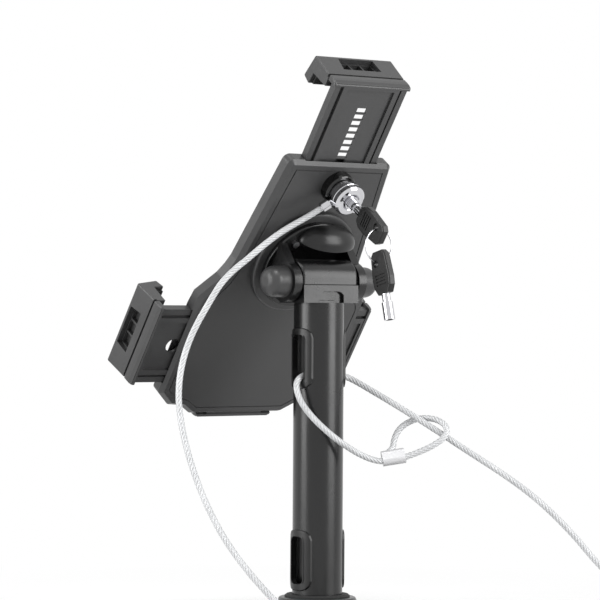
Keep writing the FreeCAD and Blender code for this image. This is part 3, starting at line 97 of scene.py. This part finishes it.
RUN_ROUTE = [(-20.0, 200.625, 7.8), (-48.0, 201.2, 3.4), (-80.0, 202.0, 2.3), (-114.0, 202.6, 2.3),
             (-145.0, 198.0, 2.3), (-168.0, 185.0, 2.4), (-180.0, 165.5, 5.0), (-178.0, 146.5, 14.5),
             (-167.0, 134.0, 28.5), (-152.9, 123.7, 43.5), (-136.5, 111.5, 68.0), (-118.0, 97.0, 90.5),
             (-100.0, 82.0, 107.5), (-81.5, 65.5, 123.0), (-63.4, 48.4, 139.2), (-46.5, 31.0, 153.9),
             (-33.0, 13.6, 166.4), (-23.6, 3.6, 174.0), (-11.5, 1.0, 176.8), (4.0, 0.8, 176.8),
             (16.0, 1.5, 175.4), (23.6, 4.3, 170.0), (24.0, 9.4, 159.0), (19.6, 15.6, 149.0),
             (12.6, 21.4, 139.8), (3.0, 26.2, 131.0), (-9.0, 28.8, 123.4), (-21.0, 30.2, 118.0),
             (-31.5, 32.6, 115.6), (-41.0, 38.4, 117.4), (-50.5, 46.6, 121.8), (-59.6, 54.2, 127.2),
             (-66.8, 59.0, 133.6), (-69.6, 57.0, 140.2), (-68.6, 48.6, 144.8), (-63.0, 39.6, 146.2),
             (-55.0, 34.0, 143.8), (-47.6, 30.6, 138.2), (-43.0, 30.6, 130.4), (-40.4, 33.0, 123.4),
             (-34.2, 31.2, 120.6)]
COIL_MIDDLE = (4, 172)
COIL_RADIUS = 30
COIL_PITCH = 5.5
COIL_FLOOR = 2.3
TURNS_IN = 2
TURNS_CLIMB = 0.5
TURNS_OUT = 1.75
COIL_STEPS = 16
COIL_WAY_IN = (34.0, 167.6, 2.3)
COIL_WAY_OUT = (-0.4, 200.625, 7.8)
CURVE_STEPS = 8


def on_plate(across, up, out):
    """A point of the holder's own axes in the stand's axes, in millimetres."""
    return Vector((across, up * math.sin(LEAN) - out * math.cos(LEAN),
                   HINGE_HEIGHT + up * math.cos(LEAN) + out * math.sin(LEAN)))


def upper_points():
    """The cable leaves its ferrule in the ferrule's own direction."""
    across, up = LOCK_SPOT
    points = []
    for reach in (FERRULE_REACH, FERRULE_REACH + CABLE_LEAD):
        points.append(on_plate(across + reach * math.cos(FERRULE_ANGLE),
                               up - reach * math.sin(FERRULE_ANGLE), FERRULE_OUT))
    return [*points, *UPPER_ROUTE]


def coil_points():
    """Two layers of turns: the lower spirals in, the upper spirals out."""
    middle_x, middle_y = COIL_MIDDLE
    points = []
    count = int((TURNS_IN + TURNS_CLIMB + TURNS_OUT) * COIL_STEPS)
    inner = COIL_RADIUS - COIL_PITCH * TURNS_IN
    for step in range(count + 1):
        turns = step / COIL_STEPS
        radius = max(COIL_RADIUS - COIL_PITCH * turns, inner)
        radius += COIL_PITCH * max(turns - TURNS_IN - TURNS_CLIMB, 0)
        climbed = min(max(turns - TURNS_IN, 0), TURNS_CLIMB) / TURNS_CLIMB
        angle = 2 * math.pi * turns
        points.append((middle_x + radius * math.cos(angle), middle_y + radius * math.sin(angle),
                       COIL_FLOOR + climbed * COIL_PITCH))
    return points


def smooth_line(name, points):
    """The points, in metres, of the smooth curve that has these control points."""
    curve = bpy.data.curves.new(name, "CURVE")
    curve.dimensions = "3D"
    curve.resolution_u = CURVE_STEPS
    spline = curve.splines.new("NURBS")
    spline.points.add(len(points) - 1)
    for target, point in zip(spline.points, points):
        target.co = (point[0] * MM, point[1] * MM, point[2] * MM, 1)
    spline.order_u = 3
    spline.use_endpoint_u = True
    holder = bpy.data.objects.new(name, curve)
    mesh = bpy.data.meshes.new_from_object(holder)
    line = [vertex.co.copy() for vertex in mesh.vertices]
    bpy.data.objects.remove(holder)
    bpy.data.curves.remove(curve)
    bpy.data.meshes.remove(mesh)
    return line


def even_steps(line, step):
    """The line's points at equal distances."""
    along = [0.0]
    for before, after in zip(line, line[1:]):
        along.append(along[-1] + (after - before).length)
    count = max(2, round(along[-1] / step))
    wanted = np.linspace(0, along[-1], count + 1)
    columns = [np.interp(wanted, along, [point[axis] for point in line]) for axis in range(3)]
    return [Vector(point) for point in zip(*columns)], along[-1]


STRANDS = 6
SIDES_PER_STRAND = 6
LAY_LENGTH = 19 * MM
ROPE_STEP = 0.9 * MM
STRAND_DEPTH = 0.17
GROOVE_SHARPNESS = 1.5
# Faces below this share of a strand's crown count as groove and get the darker material, painted shade
GROOVE_SHADE_SHARE = 0.5


def strand_crown(angle):
    """One on the crown of each strand and nothing in the grooves between them."""
    return abs(math.cos(STRANDS / 2 * angle))


def make_rope(name, points):
    """A tube whose section has one lobe for each strand and turns along the rope; faces in the grooves take a
    darker material, which is painted shade.
    """
    line, length = even_steps(smooth_line(name + "_line", points), ROPE_STEP)
    sides = STRANDS * SIDES_PER_STRAND
    radius = CABLE / 2 * MM
    ahead = (line[1] - line[0]).normalized()
    side = ahead.orthogonal().normalized()
    corners = []
    for index, point in enumerate(line):
        before = line[max(index - 1, 0)]
        after = line[min(index + 1, len(line) - 1)]
        heading = (after - before).normalized()
        side = (side - heading * side.dot(heading)).normalized()
        across = heading.cross(side)
        twist = 2 * math.pi * index * ROPE_STEP / LAY_LENGTH
        for corner in range(sides):
            angle = 2 * math.pi * corner / sides
            lobe = 1 - STRAND_DEPTH * (1 - strand_crown(angle)) ** GROOVE_SHARPNESS
            turned = angle + twist
            corners.append(point + (side * math.cos(turned) + across * math.sin(turned)) * radius * lobe)
    # Groove faces take the darker rope material: painted shade between the strands
    faces = []
    groove_shade_faces = []
    for ring in range(len(line) - 1):
        for corner in range(sides):
            following = (corner + 1) % sides
            faces.append((ring * sides + corner, ring * sides + following, (ring + 1) * sides + following,
                          (ring + 1) * sides + corner))
            middle = 2 * math.pi * (corner + 0.5) / sides
            groove_shade_faces.append(int(strand_crown(middle) < GROOVE_SHADE_SHARE))
    last = (len(line) - 1) * sides
    end_caps = [tuple(range(sides - 1, -1, -1)), tuple(range(last, last + sides))]
    faces += end_caps
    groove_shade_faces += [0] * len(end_caps)
    mesh = bpy.data.meshes.new(name)
    mesh.from_pydata(corners, [], faces)
    mesh.polygons.foreach_set("use_smooth", [True] * len(mesh.polygons))
    mesh.materials.append(materials["rope"])
    mesh.materials.append(materials["rope_shaded_groove"])
    mesh.polygons.foreach_set("material_index", groove_shade_faces)
    rope = bpy.data.objects.new(name, mesh)
    bpy.context.scene.collection.objects.link(rope)
    return rope, line, length


def make_cables():
    upper, line, length = make_rope("rope_upper", upper_points())
    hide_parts("cable_upper")
    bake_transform(upper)

    lower, line, length = make_rope("rope_lower", LOWER_ROUTE)
    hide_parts("cable_lower")
    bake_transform(lower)

    points = [COIL_WAY_IN, *coil_points(), COIL_WAY_OUT, *RUN_ROUTE]
    rest, line, length = make_rope("rope_rest", points)
    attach(rest, "stand")
    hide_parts("cable_coil", "cable_run")


# Materials

CLOUD_DETAIL = (4, 0.5)
GRAIN_DETAIL = (3, 0.6)
ROUGHNESS_CLOUDS = 4
COAT_ROUGHNESS = 0.12


def link(tree, output, target):
    tree.links.new(output, target)


def noise(tree, scale, detail, roughness):
    place = tree.nodes.new("ShaderNodeTexCoord")
    texture = tree.nodes.new("ShaderNodeTexNoise")
    texture.inputs["Scale"].default_value = scale
    texture.inputs["Detail"].default_value = detail
    texture.inputs["Roughness"].default_value = roughness
    link(tree, place.outputs["Object"], texture.inputs["Vector"])
    return texture.outputs["Fac"]


def spread(tree, value, low, high, source=(0.3, 0.7)):
    """The value, stretched from its source range to one from low to high."""
    stretch = tree.nodes.new("ShaderNodeMapRange")
    stretch.inputs["From Min"].default_value = source[0]
    stretch.inputs["From Max"].default_value = source[1]
    stretch.inputs["To Min"].default_value = low
    stretch.inputs["To Max"].default_value = high
    link(tree, value, stretch.inputs["Value"])
    return stretch.outputs["Result"]


def surface(name, dark, light, rough, grain, depth, metallic=0.0, clouds=9, coat=0.0, specular=0.5):
    """A finish whose colour and roughness drift a little, with a fine grain of its own size."""
    material = bpy.data.materials.new(name)
    material.use_nodes = True
    tree = material.node_tree
    shader = tree.nodes["Principled BSDF"]
    shader.inputs["Metallic"].default_value = metallic
    shader.inputs["Coat Weight"].default_value = coat
    shader.inputs["Specular IOR Level"].default_value = specular
    shader.inputs["Coat Roughness"].default_value = COAT_ROUGHNESS
    drift = noise(tree, clouds, *CLOUD_DETAIL)
    mix = tree.nodes.new("ShaderNodeMix")
    mix.data_type = "RGBA"
    mix.inputs["A"].default_value = (*dark, 1)
    mix.inputs["B"].default_value = (*light, 1)
    link(tree, spread(tree, drift, 0, 1), mix.inputs["Factor"])
    link(tree, mix.outputs["Result"], shader.inputs["Base Color"])
    patches = noise(tree, clouds * ROUGHNESS_CLOUDS, *CLOUD_DETAIL)
    link(tree, spread(tree, patches, *rough), shader.inputs["Roughness"])
    bump = tree.nodes.new("ShaderNodeBump")
    bump.inputs["Strength"].default_value = 1
    bump.inputs["Distance"].default_value = depth
    link(tree, noise(tree, grain, *GRAIN_DETAIL), bump.inputs["Height"])
    link(tree, bump.outputs["Normal"], shader.inputs["Normal"])
    return material


materials = {
    "powder": surface("black_powder_coat", (0.003, 0.003, 0.0032), (0.006, 0.006, 0.0062), (0.22, 0.29),
                      2600, 0.00002),
    "plastic": surface("black_plastic", (0.032, 0.032, 0.0325), (0.045, 0.045, 0.0455), (0.3, 0.4),
                       3200, 0.00003),
    "satin": surface("satin_plastic", (0.007, 0.007, 0.007), (0.012, 0.012, 0.0122), (0.26, 0.34),
                     2600, 0.000015, specular=0.38),
    "gloss": surface("gloss_black", (0.004, 0.004, 0.004), (0.007, 0.007, 0.007), (0.1, 0.16),
                     900, 0.000004),
    "rubber": surface("black_rubber", (0.014, 0.014, 0.014), (0.026, 0.026, 0.026), (0.65, 0.8),
                      1800, 0.00005, specular=0.3),
    "chrome": surface("chrome", (0.56, 0.56, 0.58), (0.7, 0.7, 0.72), (0.06, 0.11),
                      300, 0.000003, metallic=1.0),
    "steel": surface("bare_steel", (0.3, 0.3, 0.31), (0.44, 0.44, 0.45), (0.26, 0.36),
                     1500, 0.00001, metallic=1.0),
    "crimp": surface("crimp_sleeve", (0.5, 0.5, 0.51), (0.62, 0.62, 0.63), (0.42, 0.55),
                     1200, 0.00002, metallic=0.5),
    "bronze": surface("bronze_bush", (0.4, 0.26, 0.13), (0.5, 0.34, 0.18), (0.3, 0.4),
                      900, 0.00001, metallic=1.0),
    "nylon": surface("friction_plastic", (0.6, 0.6, 0.58), (0.7, 0.7, 0.68), (0.5, 0.6),
                     900, 0.00001),
    "rope": surface("coated_rope", (0.52, 0.53, 0.54), (0.63, 0.64, 0.65), (0.3, 0.4),
                    900, 0.00002, metallic=0.1, clouds=60, coat=0.4),
    # The rope's colour made darker: painted shade for the grooves between strands
    "rope_shaded_groove": surface("coated_rope_shaded_groove", (0.38, 0.38, 0.385), (0.49, 0.49, 0.495), (0.35, 0.45),
                           900, 0.00002, metallic=0.1, clouds=60, coat=0.4),
}
NODE_FINISH = {
    "base_plate": "powder", "base_cover": "plastic", "base_pad": "rubber", "base_screws": "steel",
    "foot_gasket": "rubber", "pole_tube": "powder", "pole_foot_plug": "steel", "pole_bolt": "steel",
    "slot_bezel_upper_left": "satin", "slot_bezel_upper_right": "satin", "slot_bezel_lower_left": "satin",
    "slot_bezel_lower_right": "satin", "pole_head_plug": "powder", "hinge_block": "powder",
    "hinge_bushes": "bronze", "hinge_bolt": "steel", "hinge_nut": "steel", "hinge_cap_left": "plastic",
    "hinge_cap_right": "plastic", "hinge_washers": "nylon", "tilt_bracket": "powder", "bracket_dome": "satin",
    "bracket_screws": "steel", "hub_retainer": "steel", "swivel_washer": "nylon", "rear_cover": "plastic",
    "front_plate": "plastic", "front_pads": "rubber", "cover_screws": "steel", "lock_slot_plate": "powder",
    "arm_latches": "steel", "lock_body": "gloss", "lock_cap": "chrome", "lock_swivel": "chrome",
    "cable_ferrule": "chrome", "loop_ferrule": "crimp", "lock_plug": "chrome", "lock_bar": "steel",
    "key_1_blade": "chrome", "key_1_head": "satin", "key_ring": "chrome", "key_2_blade": "chrome",
    "key_2_head": "satin",
}


def dress_nodes():
    """Pads are rubber, and the arms and claws, like anything unnamed above, are plastic."""
    for name, node in nodes.items():
        finish = "rubber" if name.startswith("claw_pad") else NODE_FINISH.get(name, "plastic")
        node.data.materials.clear()
        node.data.materials.append(materials[finish])


# Floor, light and background

def seen_directly(tree):
    """One for rays from the camera, a mirror or glass, and nothing for the rest."""
    path = tree.nodes.new("ShaderNodeLightPath")
    seen = path.outputs["Is Camera Ray"]
    for ray in ("Is Glossy Ray", "Is Transmission Ray"):
        either = tree.nodes.new("ShaderNodeMath")
        either.operation = "MAXIMUM"
        link(tree, seen, either.inputs[0])
        link(tree, path.outputs[ray], either.inputs[1])
        seen = either.outputs["Value"]
    return seen


FLOOR_HALF = 8
FLOOR_COLOUR = (0.93, 0.93, 0.93, 1)
FLOOR_ROUGHNESS = 0.9
SHADOW_REACH = 0.12
WHITE_FROM = 0.5


def make_floor():
    """The floor keeps the stand's shadow near it, and further away it is white like the backdrop."""
    mesh = bpy.data.meshes.new("floor")
    corners = [(x * FLOOR_HALF, y * FLOOR_HALF, 0) for x, y in ((-1, -1), (1, -1), (1, 1), (-1, 1))]
    mesh.from_pydata(corners, [], [(0, 1, 2, 3)])
    floor = bpy.data.objects.new("floor", mesh)
    bpy.context.scene.collection.objects.link(floor)
    material = bpy.data.materials.new("floor")
    material.use_nodes = True
    tree = material.node_tree
    shader = tree.nodes["Principled BSDF"]
    shader.inputs["Base Color"].default_value = FLOOR_COLOUR
    shader.inputs["Roughness"].default_value = FLOOR_ROUGHNESS
    shader.inputs["Specular IOR Level"].default_value = 0
    place = tree.nodes.new("ShaderNodeTexCoord")
    distance = tree.nodes.new("ShaderNodeVectorMath")
    distance.operation = "LENGTH"
    link(tree, place.outputs["Object"], distance.inputs[0])
    far = spread(tree, distance.outputs["Value"], 0, 1, (SHADOW_REACH, WHITE_FROM))
    share = tree.nodes.new("ShaderNodeMath")
    share.operation = "MULTIPLY"
    link(tree, far, share.inputs[0])
    link(tree, seen_directly(tree), share.inputs[1])
    white = tree.nodes.new("ShaderNodeEmission")
    mix = tree.nodes.new("ShaderNodeMixShader")
    link(tree, share.outputs["Value"], mix.inputs["Fac"])
    link(tree, shader.outputs["BSDF"], mix.inputs[1])
    link(tree, white.outputs["Emission"], mix.inputs[2])
    link(tree, mix.outputs["Shader"], tree.nodes["Material Output"].inputs["Surface"])
    floor.data.materials.append(material)


ROOM_LIGHT = 0.42


def make_backdrop():
    """White where it is seen, and a plain level of light on the object."""
    world = bpy.data.worlds.new("studio")
    bpy.context.scene.world = world
    world.use_nodes = True
    tree = world.node_tree
    background = tree.nodes["Background"]
    background.inputs["Color"].default_value = (1, 1, 1, 1)
    strength = spread(tree, seen_directly(tree), ROOM_LIGHT, 1, (0, 1))
    link(tree, strength, background.inputs["Strength"])


# Each box's place, width, height and power, in metres and watts
LIT_SPOT = Vector((0, 0, 0.22))
LIGHT_BOXES = {
    "left_box": ((1.94, -0.48, 0.75), 1.1, 1.5, 33),
    "right_box": ((-0.92, 1.78, 0.75), 1.2, 1.5, 31),
    "top_box": ((0.3, 0.5, 2.1), 1.0, 1.0, 18),
}


def make_lights():
    for name, (place, wide, high, power) in LIGHT_BOXES.items():
        data = bpy.data.lights.new(name, "AREA")
        data.shape = "RECTANGLE"
        data.size = wide
        data.size_y = high
        data.energy = power
        lamp = bpy.data.objects.new(name, data)
        bpy.context.scene.collection.objects.link(lamp)
        lamp.location = place
        lamp.rotation_euler = (LIT_SPOT - Vector(place)).to_track_quat("-Z", "Y").to_euler()


make_camera()
make_cables()
dress_nodes()
make_floor()
make_backdrop()
make_lights()
bpy.context.scene.view_settings.view_transform = "Standard"
